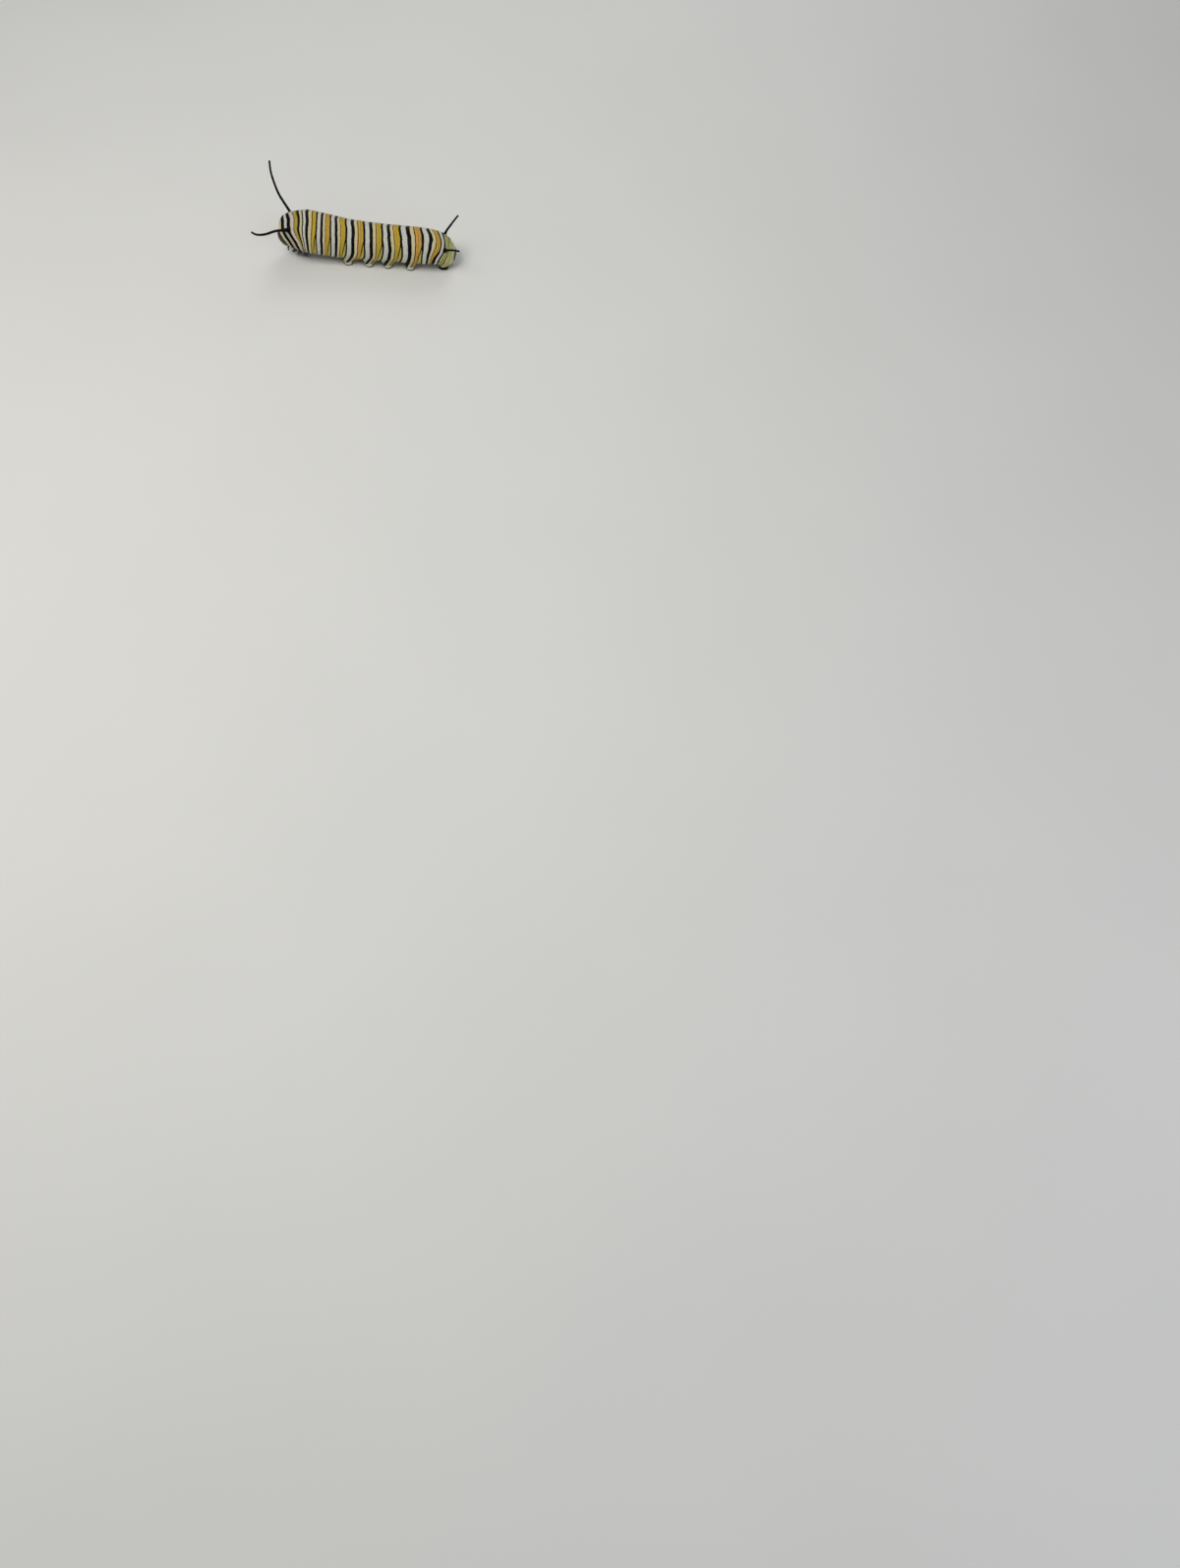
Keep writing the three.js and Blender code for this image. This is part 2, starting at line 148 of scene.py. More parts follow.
def body_frame(t):
    """The plain ring at t: centre, upward and tailward directions, half height and width, sag."""
    t = np.asarray(t, float)
    back_x, back_z, belly_x, belly_z, wide, sag = (
        along([row[k] for row in BORDERS], t) for k in range(len(BORDERS[0]))
    )
    height = np.hypot(back_x - belly_x, back_z - belly_z)
    up = np.stack([(back_x - belly_x) / height, np.zeros_like(t), (back_z - belly_z) / height], -1)
    tailward = np.stack([up[..., 2], np.zeros_like(t), -up[..., 0]], -1)
    centre = np.stack([(back_x + belly_x) / 2, np.zeros_like(t), (back_z + belly_z) / 2], -1)
    return centre, up, tailward, height / 2, wide, sag


def slant(t, degrees):
    """How far tailward the bands lie, as a share of a segment.

    degrees run from the middle of the back to the belly and are positive on the left side.
    """
    # Over the back: furthest tailward along the top of the left flank
    near = -0.07 + 0.25 * smoothstep(degrees, -45, 25) - 0.04 * smoothstep(degrees, 25, 60)
    near = near - 0.12 * smoothstep(degrees, 50, 105) + 0.09 * smoothstep(degrees, -120, -180)
    # A little more low on the left flank, in the front half
    low = 0.1 * smoothstep(degrees, 60, 110) * smoothstep(degrees, 180, 140) * smoothstep(t, 7.2, 6.2)
    # Down the throat towards the true legs
    throat = smoothstep(degrees, 45, 95) * smoothstep(degrees, 175, 130)
    throat = 0.22 * throat * smoothstep(t, 0.0, 0.6) * smoothstep(t, 2.7, 1.5)
    # Forwards between the fleshy feet
    feet = smoothstep(np.abs(degrees), 88, 150) * smoothstep(t, 4.7, 5.3) * smoothstep(t, 9.3, 8.0)
    # Round behind the left rear filament
    rump = np.exp(-(((degrees - 48) / 28) ** 2)) * smoothstep(t, 9.7, 10.3) * smoothstep(t, 11.7, 11.0)
    ends = smoothstep(t, 0.0, 1.0) * smoothstep(t, 12.0, 11.2)
    return (near * along(SLANT, t) + low) * ends + throat - 0.2 * feet + 0.13 * rump


def pattern(t, angle):
    """Where a point lies in the banding: bands slant, wander a little and lean forwards low down.

    Returns the warped place along the body and how far inside a flank wedge the point is. A wedge
    opens low on the flank, between the black behind the rear band and the next border.
    """
    a = np.abs(angle) / math.pi
    wander = 0.008 * np.sin(3 * angle + 1.7 * t) + 0.006 * np.sin(7 * angle - 2.3 * np.floor(t + 0.2))
    wander = wander + 0.004 * np.sin(13 * angle + 5 * t)
    t = t - slant(t, np.degrees(angle)) + wander * smoothstep(t, 0.0, 0.4) * smoothstep(t, 12.0, 11.6)
    segment = np.clip(np.floor(t), 0, TAIL_END - 1)
    u = t - segment
    low = np.clip((a - LOW_FROM) / LOW_OVER, 0, 1)
    lean = low * (segment >= LEANING[0]) * (segment <= LEANING[1])
    leaning = u + lean * (0.05 * smoothstep(u, 0.42, 0.6) + 0.22 * smoothstep(u, 0.66, 0.8))
    wedge = np.minimum(leaning - 0.99, 0.97 - u) - 0.05 * smoothstep(low, 0.16, 0.0)
    wedged = (segment >= WEDGED[0]) & (segment <= WEDGED[1])
    wedge = np.where(wedged, np.maximum(wedge, NO_WEDGE), NO_WEDGE)
    # On the second segment the front bands stay wide low down and crowd the others.
    knee = 0.5 + 0.25 * smoothstep(a, 0.3, 0.7)
    crowded = np.where(u < knee, u * 0.5 / knee, 0.5 + (u - knee) * 0.5 / (1 - knee))
    u = np.where(segment == 1, crowded, np.where(u < 1, np.minimum(leaning, 0.999), u))
    return segment + u, wedge


def relief(at, wedge, around):
    """Height of the bands over the body's plain outline, in mm."""
    segment = np.clip(np.floor(at), 0, TAIL_END - 1).astype(int)
    u = at - segment
    total = np.zeros_like(u)
    for index, kind in enumerate(KINDS):
        here = segment == index
        for (start, deep_a, _), (end, deep_b, _) in zip(kind, kind[1:] + [BORDER_CREASE]):
            v = np.clip((u - start) / (end - start), 0, 1)
            bulge = np.sqrt(np.clip(1 - (2 * v - 1) ** 4, 0, 1))
            rise = SWELL * min(1, (end - start) / FULL_BAND)
            level = -(deep_a + (deep_b - deep_a) * v) * (1 - bulge) + rise * bulge
            total = np.where(here & (u >= start) & (u <= end), level, total)
    # A wedge bulges from a crease of its own.
    total = np.where(wedge > 0, 0.07 * np.sqrt(np.clip(wedge / 0.05, 0, 1)) - 0.05, total)
    # All is flatter on the tail, the first segment and the belly.
    total = total * (1 - 0.7 * smoothstep(at, 11.4, 12.0)) * (1 - 0.4 * smoothstep(at, 1.0, 0.6))
    return total * (1 - 0.45 * smoothstep(around, 0.7, 0.86))


def body_points(t, angle, bump=True, share=1.0, out=0.0):
    """Points of the skin at t along and angle around.

    share shrinks a ring, and out pushes it tailward by that share of its half height.
    """
    centre, up, tailward, high, wide, sag = body_frame(t)
    c, s = np.cos(angle), np.sin(angle)
    rise = np.where(c < 0, -np.abs(c) ** BELLY_FLATNESS, c)
    fold = FLANK_FOLD * np.exp(-(((np.abs(s) - 0.9) / 0.14) ** 2)) * smoothstep(c, 0.1, -0.3)
    grow = relief(*pattern(t, angle), np.abs(angle) / math.pi) if bump else 0
    shape = share * (high + grow)
    width = share * (wide + grow + fold)
    points = centre + up * (shape * rise)[..., None]
    points = points + tailward * (share * sag * s * s + out * high)[..., None]
    points[..., 1] -= width * s
    return points


def heading(t, angle, step_t, step_a):
    """How the plain skin runs from a point: a step tailward and a step round the body."""
    spots = body_points(
        np.array([t, t + step_t, t]), np.array([angle, angle, angle + step_a]), bump=False,
    )
    return spots[1] - spots[0], spots[2] - spots[0]


# Small helpers for pieces

def activate(piece):
    bpy.ops.object.select_all(action="DESELECT")
    piece.select_set(True)
    bpy.context.view_layer.objects.active = piece


def edit(piece):
    activate(piece)
    bpy.ops.object.mode_set(mode="EDIT")
    bpy.ops.mesh.select_all(action="SELECT")


def done():
    bpy.ops.object.mode_set(mode="OBJECT")


def named(name):
    piece = bpy.context.active_object
    piece.name = name
    piece.data.name = name
    return piece


def apply(piece, modifier):
    activate(piece)
    bpy.ops.object.modifier_apply(modifier=modifier.name)


def place(piece, material, slot, *nodes):
    """Moves a finished piece from the larva's millimetres to the frame and ties it in."""
    piece.data.transform(Matrix.Scale(MM, 4) @ Matrix.Translation(-MIDDLE))
    piece.data.materials.clear()
    piece.data.materials.append(material)
    activate(piece)
    bpy.ops.object.shade_smooth()
    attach(piece, "root")
    if nodes:
        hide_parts(*nodes)
    return piece


def store(piece, name, values):
    """Keeps one number per corner for the piece's material."""
    numbers = piece.data.attributes.new(name, "FLOAT", "POINT")
    numbers.data.foreach_set("value", np.asarray(values, np.float32))


def corners(mesh):
    places = np.empty(len(mesh.vertices) * 3, np.float32)
    mesh.vertices.foreach_get("co", places)
    return places.reshape(-1, 3)


def move_corners(mesh, places):
    mesh.vertices.foreach_set("co", places.astype(np.float32).ravel())


# Materials

def add(tree, kind, settings=None, **links):
    """Adds a node: settings are its properties and inputs, links join its inputs by name."""
    node = tree.nodes.new("ShaderNode" + kind)
    for key, value in (settings or {}).items():
        if hasattr(node, key):
            setattr(node, key, value)
        else:
            node.inputs[key].default_value = value
    for key, source in links.items():
        tree.links.new(source, node.inputs[key])
    return node


class Formula:
    """Arithmetic on shader values, written as ordinary sums."""

    def __init__(self, tree, socket):
        self.tree = tree
        self.socket = socket

    def _join(self, operation, *others):
        node = add(self.tree, "Math", {"operation": operation})
        for i, value in enumerate((self, *others)):
            if isinstance(value, Formula):
                self.tree.links.new(value.socket, node.inputs[i])
            else:
                node.inputs[i].default_value = value
        return Formula(self.tree, node.outputs[0])

    def __add__(self, other):
        return self._join("ADD", other)

    def __sub__(self, other):
        return self._join("SUBTRACT", other)

    def __mul__(self, other):
        return self._join("MULTIPLY", other)

    def fract(self):
        return self._join("FRACT")

    def size(self):
        return self._join("ABSOLUTE")

    def ramp(self, low, high):
        """0 below low, 1 above high, smooth between; falls when low is above high."""
        falls = low > high
        node = add(self.tree, "MapRange", {
            "interpolation_type": "SMOOTHSTEP",
            "From Min": min(low, high),
            "From Max": max(low, high),
            "To Min": 1.0 if falls else 0.0,
            "To Max": 0.0 if falls else 1.0,
        }, Value=self.socket)
        return Formula(self.tree, node.outputs["Result"])


def new_material(name):
    material = bpy.data.materials.new(name)
    material.use_nodes = True
    tree = material.node_tree
    shader = tree.nodes["Principled BSDF"]
    return material, tree, shader


def field(tree, name):
    """Numbers that store() kept on the piece."""
    return Formula(tree, add(tree, "Attribute", {"attribute_name": name}).outputs["Fac"])


def object_space(tree):
    return add(tree, "TexCoord").outputs["Object"]


def noise(tree, space, size_mm, detail=3.0, roughness=0.55):
    """Noise whose blotches are about size_mm across, from 0 to 1."""
    scale = 1 / (size_mm * MM)
    settings = {"Scale": scale, "Detail": detail, "Roughness": roughness}
    return Formula(tree, add(tree, "TexNoise", settings, Vector=space).outputs["Fac"])


def mix(tree, share, first, second, blend="MIX"):
    """Share of the second colour over the first; a colour is a tuple or a socket."""
    node = add(tree, "Mix", {"data_type": "RGBA", "blend_type": blend})
    if isinstance(share, Formula):
        tree.links.new(share.socket, node.inputs["Factor"])
    else:
        node.inputs["Factor"].default_value = share
    for socket, value in ((node.inputs[6], first), (node.inputs[7], second)):
        if isinstance(value, tuple):
            socket.default_value = value
        else:
            tree.links.new(value, socket)
    return node.outputs[2]


def bands(tree, value, stops, soft=0.012):
    """Colour bands: stops are (start, colour) in order; each border is soft that wide."""
    node = add(tree, "ValToRGB", Fac=value.socket)
    ramp = node.color_ramp
    ramp.interpolation = "LINEAR"
    points = [(0.0, stops[0][1])]
    for (_, before), (start, after) in zip(stops, stops[1:]):
        points.append((start - soft / 2, before))
        points.append((start + soft / 2, after))
    points.append((1.0, stops[-1][1]))
    while len(ramp.elements) < len(points):
        ramp.elements.new(1.0)
    for element, (position, colour) in zip(ramp.elements, points):
        element.position = position
        element.color = colour
    return node.outputs["Color"]


def finish(tree, shader, colour, roughness, grain, settings):
    """Gives a material its colour, roughness, grain and the shader's own settings.

    grain is the height, strength and depth in mm of relief that is too fine for the mesh.
    """
    tree.links.new(colour, shader.inputs["Base Color"])
    tree.links.new(roughness.socket, shader.inputs["Roughness"])
    if grain:
        height, strength, depth = grain
        bump = add(tree, "Bump", {"Strength": strength, "Distance": depth * MM}, Height=height.socket)
        tree.links.new(bump.outputs["Normal"], shader.inputs["Normal"])
    for name, value in settings.items():
        shader.inputs[name].default_value = value


# Pigments of the cuticle, matched to the photo under the studio light, and the dark grey of painted
# shade laid on the belly
PIGMENTS = {
    "white": hex_colour("#c6c8c1"),
    "cream": hex_colour("#c9c09c"),
    "rose": hex_colour("#c8bab4"),
    "yellow": hex_colour("#bba236"),
    "gold": hex_colour("#bf9c40"),
    "orange": hex_colour("#c2964a"),
    "olive": hex_colour("#a19740"),
    "lime": hex_colour("#b0af66"),
    "pale": hex_colour("#c4c290"),
    "ochre": hex_colour("#64470f"),
    "brown": hex_colour("#1c0c06"),
    "black": hex_colour("#030304"),
    # painted shade, not a pigment: the underside turns away from the light, so it is darkened to this
    # grey
    "belly": hex_colour("#33342a"),
    "rear": hex_colour("#bfa233"),  # shows only at the soft borders of the rear bands
}
# Border from which the rear bands take each pigment
REAR = [
    (1, "olive"), (2, "yellow"), (3, "gold"), (4, "yellow"), (5, "gold"), (6, "yellow"),
    (8, "orange"), (9, "gold"),
]


def banded_skin():
    """Living cuticle, soft and waxy: a low gloss over bands of pigment that sit in the skin."""
    material, tree, shader = new_material("banded_larval_skin")
    space = object_space(tree)
    a = field(tree, "around")
    # The edges of the bands waver a little.
    at = field(tree, "along") + (noise(tree, space, 0.35, 1.5) - 0.5) * 0.024
    u = at.fract()

    def banding(kind):
        return bands(tree, u, [(start, PIGMENTS[name]) for start, _, name in kind])

    # Rear bands: yellow to orange along the body, streaked, with a brown line down the middle
    rear = bands(tree, at * (1 / TAIL_END), [(t / TAIL_END, PIGMENTS[name]) for t, name in REAR], 0.002)
    streak = noise(tree, space, 0.9, 2.0).ramp(0.45, 0.62)
    rear = mix(tree, streak * 0.3, rear, PIGMENTS["orange"])
    seam = (u - 0.81).size().ramp(0.022, 0.006)
    rear = mix(tree, seam * 0.55, rear, PIGMENTS["ochre"])
    plain = mix(tree, u.ramp(0.674, 0.686) * u.ramp(0.946, 0.934), banding(PLAIN), rear)
    # The second segment's white turns olive down the flank.
    second = banding(SECOND)
    low_white = a.ramp(0.3, 0.5) * u.ramp(0.176, 0.164) * u.ramp(0.024, 0.036)
    second = mix(tree, low_white * 0.6, second, PIGMENTS["olive"])

    colour = banding(FIRST)
    kinds = [(1, second), (2, banding(THIRD)), (3, plain), (10, banding(EIGHTH)), (11, banding(LAST))]
    for start, kind in kinds:
        colour = mix(tree, at.ramp(start, start + 0.002), colour, kind)
    # The tail's rounded end is pale, with the black anal plate in its upper part.
    colour = mix(tree, at.ramp(11.98, 12.02), colour, PIGMENTS["pale"])
    plate = at - a.ramp(0.4, 0.8) * 0.17
    colour = mix(tree, plate.ramp(12.38, 12.41), colour, PIGMENTS["black"])

    wedge = field(tree, "wedge") + (noise(tree, space, 0.35, 1.5) - 0.5) * 0.016
    streaked_lime = mix(tree, streak * 0.5, PIGMENTS["lime"], PIGMENTS["gold"])
    colour = mix(tree, wedge.ramp(0.0, 0.01), colour, streaked_lime)

    # From the third segment on all is tinted with lime low on the flank. Painted shade: the belly,
    # which turns away from the light, is darkened towards dark grey.
    low_tint = a.ramp(0.55, 0.8) * 0.55 * at.ramp(1.9, 2.1)
    colour = mix(tree, low_tint, colour, hex_colour("#dfe0a4"), "MULTIPLY")
    colour = mix(tree, a.ramp(0.8, 0.98) * 0.8, colour, PIGMENTS["belly"])

    for name, pigment in (("foot", "black"), ("foot_pale", "white")):
        colour = mix(tree, field(tree, name).ramp(-0.03, 0.03), colour, PIGMENTS[pigment])

    mottle = noise(tree, space, 0.45, 4.0).ramp(0.35, 0.75)
    colour = mix(tree, mottle * 0.35, colour, hex_colour("#cfc5ac"), "MULTIPLY")

    fine = noise(tree, space, 0.09, 4.0, 0.6)
    folds = noise(tree, space, 0.28, 2.0)
    finish(tree, shader, colour, fine * 0.2 + 0.32, (fine * 0.5 + folds, 0.6, 0.05), {
        "IOR": 1.4,
        "Specular IOR Level": 0.1,
        "Subsurface Weight": 0.12,
        "Subsurface Radius": (0.6, 0.45, 0.25),
        "Subsurface Scale": 0.4 * MM,
    })
    return material


def black_skin():
    """The filaments' own skin: soft cuticle too, wholly black and a little duller."""
    material, tree, shader = new_material("black_larval_skin")
    space = object_space(tree)
    shade = noise(tree, space, 0.4).ramp(0.35, 0.7)
    colour = mix(tree, shade, hex_colour("#030304"), hex_colour("#0a0809"))
    fine = noise(tree, space, 0.08, 4.0)
    settings = {"IOR": 1.5, "Specular IOR Level": 0.1}
    finish(tree, shader, colour, fine * 0.25 + 0.36, (fine, 0.5, 0.03), settings)
    return material


def black_horn():
    """Hardened cuticle of legs, feelers and jaws: smooth, dark and glossy."""
    material, tree, shader = new_material("black_horn_cuticle")
    space = object_space(tree)
    shade = noise(tree, space, 0.6).ramp(0.4, 0.75)
    colour = mix(tree, shade, hex_colour("#040304"), hex_colour("#150d09"))
    fine = noise(tree, space, 0.12, 3.0)
    finish(tree, shader, colour, fine * 0.15 + 0.18, None, {"IOR": 1.56})
    return material


def head_shell():
    """Hard head capsule: polished black cuticle with arches of pale yellow pigment."""
    material, tree, shader = new_material("arched_head_shell")
    space = object_space(tree)
    arch = field(tree, "arch") + (noise(tree, space, 0.5, 2.0) - 0.5) * 0.025
    black, pale = PIGMENTS["black"], hex_colour("#cfc894")
    colour = bands(tree, arch, [
        (0.0, black), (0.3, pale), (0.4, black), (0.58, pale), (0.7, black),
    ], 0.01)
    fine = noise(tree, space, 0.1, 3.0)
    finish(tree, shader, colour, fine * 0.12 + 0.2, (fine, 0.3, 0.02), {"IOR": 1.56})
    return material


# Skin

FEET = {
    # node: sole (x, y), root (x, y), stretch along the body
    "proleg_3_left": ((0.1, -2.55), (0.25, -1.95), 1.0),
    "proleg_4_left": ((4.5, -2.55), (4.65, -1.95), 1.0),
    "proleg_5_left": ((8.45, -2.55), (8.6, -1.95), 1.0),
    "proleg_6_left": ((13.2, -2.55), (13.35, -1.95), 1.0),
    "proleg_3_right": ((0.4, 2.55), (0.55, 1.95), 1.0),
    "proleg_4_right": ((4.7, 2.55), (4.85, 1.95), 1.0),
    "proleg_5_right": ((8.6, 2.55), (8.75, 1.95), 1.0),
    "proleg_6_right": ((13.0, 2.55), (13.15, 1.95), 1.0),
    "clasper_left": ((20.0, -1.5), (20.4, -1.2), 1.12),
    "clasper_right": ((20.0, 1.5), (20.4, 1.2), 1.12),
}
PATCH = 1.55  # half size of the skin drawn down into a foot, mm
SOLE_SHARE = 0.3  # share of that patch that becomes the sole
SOLE_RADIUS = 0.76  # along the body, mm
SOLE_WIDTH = 0.78  # share of the radius across the body
ROOT_HEIGHT = 1.0  # height of the skin over which a foot is centred, mm
SMALL_STEP = 1e-3
OUTSIDE = -1.0  # value of the foot fields away from every foot
# Heights up to which a foot is black, mm
BLACK_INNER_SIDE = 0.85
BLACK_CLASPER = 0.75
BLACK_FRONT = 0.8
BLACK_SOLE = 0.34
# Pale spot on a foot's outer side, back and up in mm
SPOT_MIDDLE = (0.15, 0.56)
SPOT_HALF_SIZE = (0.85, 0.27)
SPOT_SLOPE = 0.25
# Black round the root of a filament and of a leg, mm
FILAMENT_MARGIN = 0.25
LEG_MARGIN = 0.9
LEG_DROP = 0.6

RING_STEP = 0.082  # mean distance between the skin's rings, mm
AROUND = 176  # faces in a ring
FLANK = 1.6  # angle of the widest part of a flank
MERGE = 0.0005  # corners closer than this are one, mm
# The skin turns in at the neck: place along the body, share of the ring's full size
COLLAR = [(0.12, 0.3), (0.1, 0.6), (0.06, 0.8), (0.02, 0.9), (0.0, 0.97)]
# The tail's rounded end: how far a ring is pushed out, share of its full size
TAIL_CAP = [
    (0.1, 0.99), (0.22, 0.93), (0.33, 0.85), (0.42, 0.74), (0.5, 0.6), (0.55, 0.45), (0.585, 0.3),
    (0.6, 0.15),
]
TAIL_RADIUS = 1.6  # mm
TAIL_DROOP = 0.75  # how far the rounded end hangs down for each share that it is pushed out, mm

SEGMENT_NODES = ["prothorax", "mesothorax", "metathorax"]
SEGMENT_NODES += [f"abdomen_{i}" for i in range(1, 9)] + ["tail"]


def ring_stops():
    """Places of the skin's rings along the body, closer together near each crease."""
    stops = []
    for segment, kind in enumerate(KINDS):
        ends = np.array([segment, segment + 1.0])
        lengths = []
        for angle in (0.0, FLANK):
            spots = body_points(ends, np.full(2, angle), bump=False)
            lengths.append(np.linalg.norm(np.diff(spots, axis=0)))
        for (start, _, _), (end, _, _) in zip(kind, kind[1:] + [BORDER_CREASE]):
            count = max(3, round(max(lengths) * (end - start) / RING_STEP))
            for k in range(count):
                v = (1 - math.cos(math.pi * k / count)) / 2
                stops.append(segment + start + (end - start) * v)
    stops.append(TAIL_END)
    return np.array(stops)


def ring_angles():
    """Places round a ring, closer together low on the flanks, where the feet are drawn out."""
    a = np.linspace(0, 1, 2001)
    density = 1 + 1.1 * np.exp(-(((a - 0.8) / 0.12) ** 2))
    reached = np.concatenate([[0], np.cumsum((density[1:] + density[:-1]) / 2)])
    half = np.interp(np.linspace(0, reached[-1], AROUND // 2 + 1), reached, a) * math.pi
    return np.concatenate([-half[::-1], half[1:]])


def foot_colours(foot, theta, sole, clasper):
    """How deep each point of a foot lies inside the foot's black and its pale spot, in mm."""
    height = foot[:, 2]
    outer = -np.sin(theta)
    inner = outer < 0.1
    if clasper:
        black = np.where(inner, BLACK_INNER_SIDE, BLACK_CLASPER) - height
        return black, np.full_like(height, OUTSIDE)
    # A black sole, black on the inner side and the front; a pale spot low on the outer side
    back = foot[:, 0] - sole[0]
    front = BLACK_FRONT - 0.6 * smoothstep(back, -0.9, -0.3)
    black = np.where(inner, BLACK_INNER_SIDE, np.maximum(front, BLACK_SOLE)) - height
    off_back = (back - SPOT_MIDDLE[0]) / SPOT_HALF_SIZE[0]
    off_up = (height - SPOT_MIDDLE[1]) / SPOT_HALF_SIZE[1]
    spot = SPOT_SLOPE * (1 - off_back ** 2 - off_up ** 2)
    return black, np.minimum(spot, outer - 0.15)


def draw_down_feet(t, angle, past_end, points, dark, pale):
    """Draws a round patch of skin over each foot's place down into that foot.

    past_end is how far in mm a ring of the tail's rounded end lies past the last border. dark and
    pale are raised to the foot's black and its pale spot.
    """
    for sole, root, stretch in FEET.values():
        side = -1 if sole[1] < 0 else 1
        clasper = stretch > 1
        lower = (np.abs(angle) > 0.55 * math.pi) & (np.sign(angle) == -side)
        target = np.array([root[0], root[1] * 1.15, ROOT_HEIGHT])
        gap = np.where(lower, np.linalg.norm(points - target, axis=-1), np.inf)
        i, j = np.unravel_index(np.argmin(gap), gap.shape)
        t0, a0 = t[i, j], angle[i, j]
        # Places in the patch: rho is 1 at its rim, theta is 0 tailward.
        per_t, per_a = (
            np.linalg.norm(step) / SMALL_STEP for step in heading(t0, a0, SMALL_STEP, SMALL_STEP)
        )
        p = ((t - t0) * per_t + past_end) / (PATCH * stretch)
        q = (angle - a0) * per_a / PATCH * -side
        rho = np.hypot(p, q)
        inside = rho < 1
        theta = np.arctan2(q, p)[inside]
        k = np.clip((rho[inside] - SOLE_SHARE) / (1 - SOLE_SHARE), 0, 1)
        if clasper:
            rim = points[inside]
        else:
            rim = body_points(
                t0 + np.cos(theta) * PATCH * stretch / per_t,
                a0 + np.sin(theta) * PATCH / per_a * -side,
            )
        # The pad swells over the sole, narrows to the ankle and flares to the body.
        swell = 1 + 0.16 * smoothstep(k, 0.0, 0.1) - 0.07 * smoothstep(k, 0.16, 0.3)
        reach = SOLE_RADIUS * np.clip(rho[inside] / SOLE_SHARE, 0, 1) * swell
        flat = np.stack([
            sole[0] + reach * stretch * np.cos(theta),
            sole[1] + reach * SOLE_WIDTH * np.sin(theta) * -side,
            np.zeros_like(theta),
        ], -1)
        join = smoothstep(k, 0.3, 1.0)
        foot = flat * (1 - join)[:, None] + rim * join[:, None]
        foot[:, 2] = rim[:, 2] * k ** 0.8
        points[inside] = foot
        black, spot = foot_colours(foot, theta, sole, clasper)
        dark[inside] = np.maximum(dark[inside], black)
        pale[inside] = np.maximum(pale[inside], spot)


def blacken(points, dark, at, radius):
    """Blackens the skin round the root of a filament or a leg."""
    gap = np.linalg.norm(points - np.array(at), axis=-1)
    np.maximum(dark, radius - gap, out=dark)


def blacken_roots(points, dark):
    for path, root, _ in FILAMENTS.values():
        for spot in path[:2]:
            blacken(points, dark, spot, root + FILAMENT_MARGIN)
    for x, y, z in (leg[0] for leg in LEGS.values()):
        for side in (-1, 1):
            blacken(points, dark, (x, y * side, z - LEG_DROP), LEG_MARGIN)


def make_skin(material):
    """One closed skin: a grid whose rows are shaped into the rings of the body."""
    stops = ring_stops()
    count = len(COLLAR) + len(stops) + len(TAIL_CAP)
    t = np.concatenate([[place for place, _ in COLLAR], stops, [TAIL_END] * len(TAIL_CAP)])
    share = np.concatenate([
        [size for _, size in COLLAR], np.ones(len(stops)), [size for _, size in TAIL_CAP],
    ])
    out = np.concatenate([np.zeros(len(COLLAR) + len(stops)), [push for push, _ in TAIL_CAP]])
    tt = np.repeat(t[:, None], AROUND + 1, 1)
    aa = np.repeat(ring_angles()[None, :], count, 0)
    around = np.abs(aa) / math.pi

    # A groove on either side of the tail's end sets the anal plate off.
    groove = np.exp(-(((around - 0.5) / 0.05) ** 2)) * smoothstep(out, 0.03, 0.25)[:, None]
    points = body_points(tt, aa, True, share[:, None] * (1 - 0.07 * groove), out[:, None])
    points[..., 2] -= TAIL_DROOP * out[:, None]

    dark = np.full(tt.shape, OUTSIDE)
    pale = np.full(tt.shape, OUTSIDE)
    steps = np.hypot(np.diff(out, prepend=0), np.diff(share, prepend=1)) * TAIL_RADIUS
    past_end = np.cumsum(np.where(out > 0, steps, 0))[:, None] + np.zeros_like(tt)
    draw_down_feet(tt, aa, past_end, points, dark, pale)
    blacken_roots(points, dark)

    banded, wedge = pattern(tt, aa)
    banded = np.where(out[:, None] > 0, TAIL_END + out[:, None], banded)
    banded[:len(COLLAR)] = 0.05  # inside the first segment's black

    bpy.ops.mesh.primitive_grid_add(x_subdivisions=AROUND, y_subdivisions=count - 1, size=2)
    skin = named("skin")
    grid = corners(skin.data)
    column = np.rint((grid[:, 0] + 1) / 2 * AROUND).astype(int)
    row = np.rint((grid[:, 1] + 1) / 2 * (count - 1)).astype(int)
    move_corners(skin.data, points[row, column])
    fields = {"along": banded, "around": around, "wedge": wedge, "foot": dark, "foot_pale": pale}
    for name, values in fields.items():
        store(skin, name, values[row, column])

    edit(skin)
    bpy.ops.mesh.remove_doubles(threshold=MERGE)
    bpy.ops.mesh.select_all(action="DESELECT")
    bpy.ops.mesh.select_mode(type="EDGE")
    bpy.ops.mesh.select_non_manifold(extend=False)
    bpy.ops.mesh.fill()
    bpy.ops.mesh.select_all(action="SELECT")
    bpy.ops.mesh.normals_make_consistent(inside=False)
    done()
    return place(skin, material, "skin_banded", *SEGMENT_NODES, *FEET)


# Filaments: the route of each from its root, then the radius at its root and at its tip

